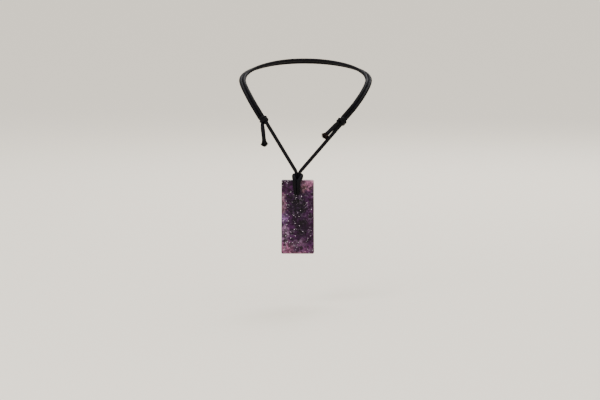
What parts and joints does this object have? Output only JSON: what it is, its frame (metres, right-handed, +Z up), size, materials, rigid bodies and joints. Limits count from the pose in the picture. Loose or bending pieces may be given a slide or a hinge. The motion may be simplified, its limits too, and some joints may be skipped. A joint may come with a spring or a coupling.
{
  "type": "pendant necklace",
  "caption": "Adjustable cord necklace with a drilled rectangular stone slab hung from a lark's head hitch and sliding knots on both sides.",
  "frame": {"origin": "middle of the neck inside the cord ring, level with the two places at the sides of the neck where the cord turns down over the shoulders", "axes": "+Z up, -Y to the front (the pendant hangs there), +Y to the back of the neck, +X to the right as seen from the front"},
  "size_m": [0.1156, 0.1136, 0.1614],
  "materials": {
    "braided_cord": "waxed braided cotton, satin",
    "sealed_end": "frayed and heat-sealed cord end",
    "amethyst": "polished, opaque crystalline grain"
  },
  "bodies": {
    "neck": {"neck_cord_outer": "braided_cord", "neck_cord_inner": "braided_cord"},
    "front": {"left_front_cord": "braided_cord", "right_front_cord": "braided_cord", "left_running_end": "braided_cord", "right_running_end": "braided_cord"},
    "left_knot": {"left_sliding_knot": "braided_cord"},
    "left_tail": {"left_tail_cord": "braided_cord", "left_tail_tip": "sealed_end"},
    "right_knot": {"right_sliding_knot": "braided_cord"},
    "right_tail": {"right_tail_cord": "braided_cord", "right_tail_tip": "sealed_end"},
    "junction": {"strand_junction": "braided_cord"},
    "pendant": {"hitch_cord": "braided_cord", "stone": "amethyst"}
  },
  "joints": [
    {"name": "front_lift", "type": "hinge", "parent": "neck", "child": "front", "pos_m": [0, 0, 0], "axis": [-1, 0, 0], "range_deg": [0, 50]},
    {"name": "pendant_swing", "type": "hinge", "parent": "front", "child": "junction", "pos_m": [-0.0068, -0.06, -0.075], "axis": [0, 1, 0], "range_deg": [-25, 25]},
    {"name": "pendant_tilt", "type": "hinge", "parent": "junction", "child": "pendant", "pos_m": [-0.0068, -0.06, -0.075], "axis": [-1, 0, 0], "range_deg": [-45, 60]},
    {"name": "left_knot_slide", "type": "slide", "parent": "front", "child": "left_knot", "axis": [0.4888, -0.3869, -0.7819], "range_m": [-0.008, 0.03], "deforming": ["left_running_end"]},
    {"name": "right_knot_slide", "type": "slide", "parent": "front", "child": "right_knot", "axis": [-0.6328, -0.345, -0.6933], "range_m": [-0.01, 0.03], "deforming": ["right_running_end"]},
    {"name": "left_tail_swing", "type": "hinge", "parent": "left_knot", "child": "left_tail", "pos_m": [-0.03727, -0.03916, -0.03458], "axis": [0, 1, 0], "range_deg": [-20, 60], "stiffness_Nm_per_rad": 0.0004},
    {"name": "right_tail_swing", "type": "hinge", "parent": "right_knot", "child": "right_tail", "pos_m": [0.02882, -0.04018, -0.03307], "axis": [0, 1, 0], "range_deg": [0, 60], "stiffness_Nm_per_rad": 0.0004}
  ]
}
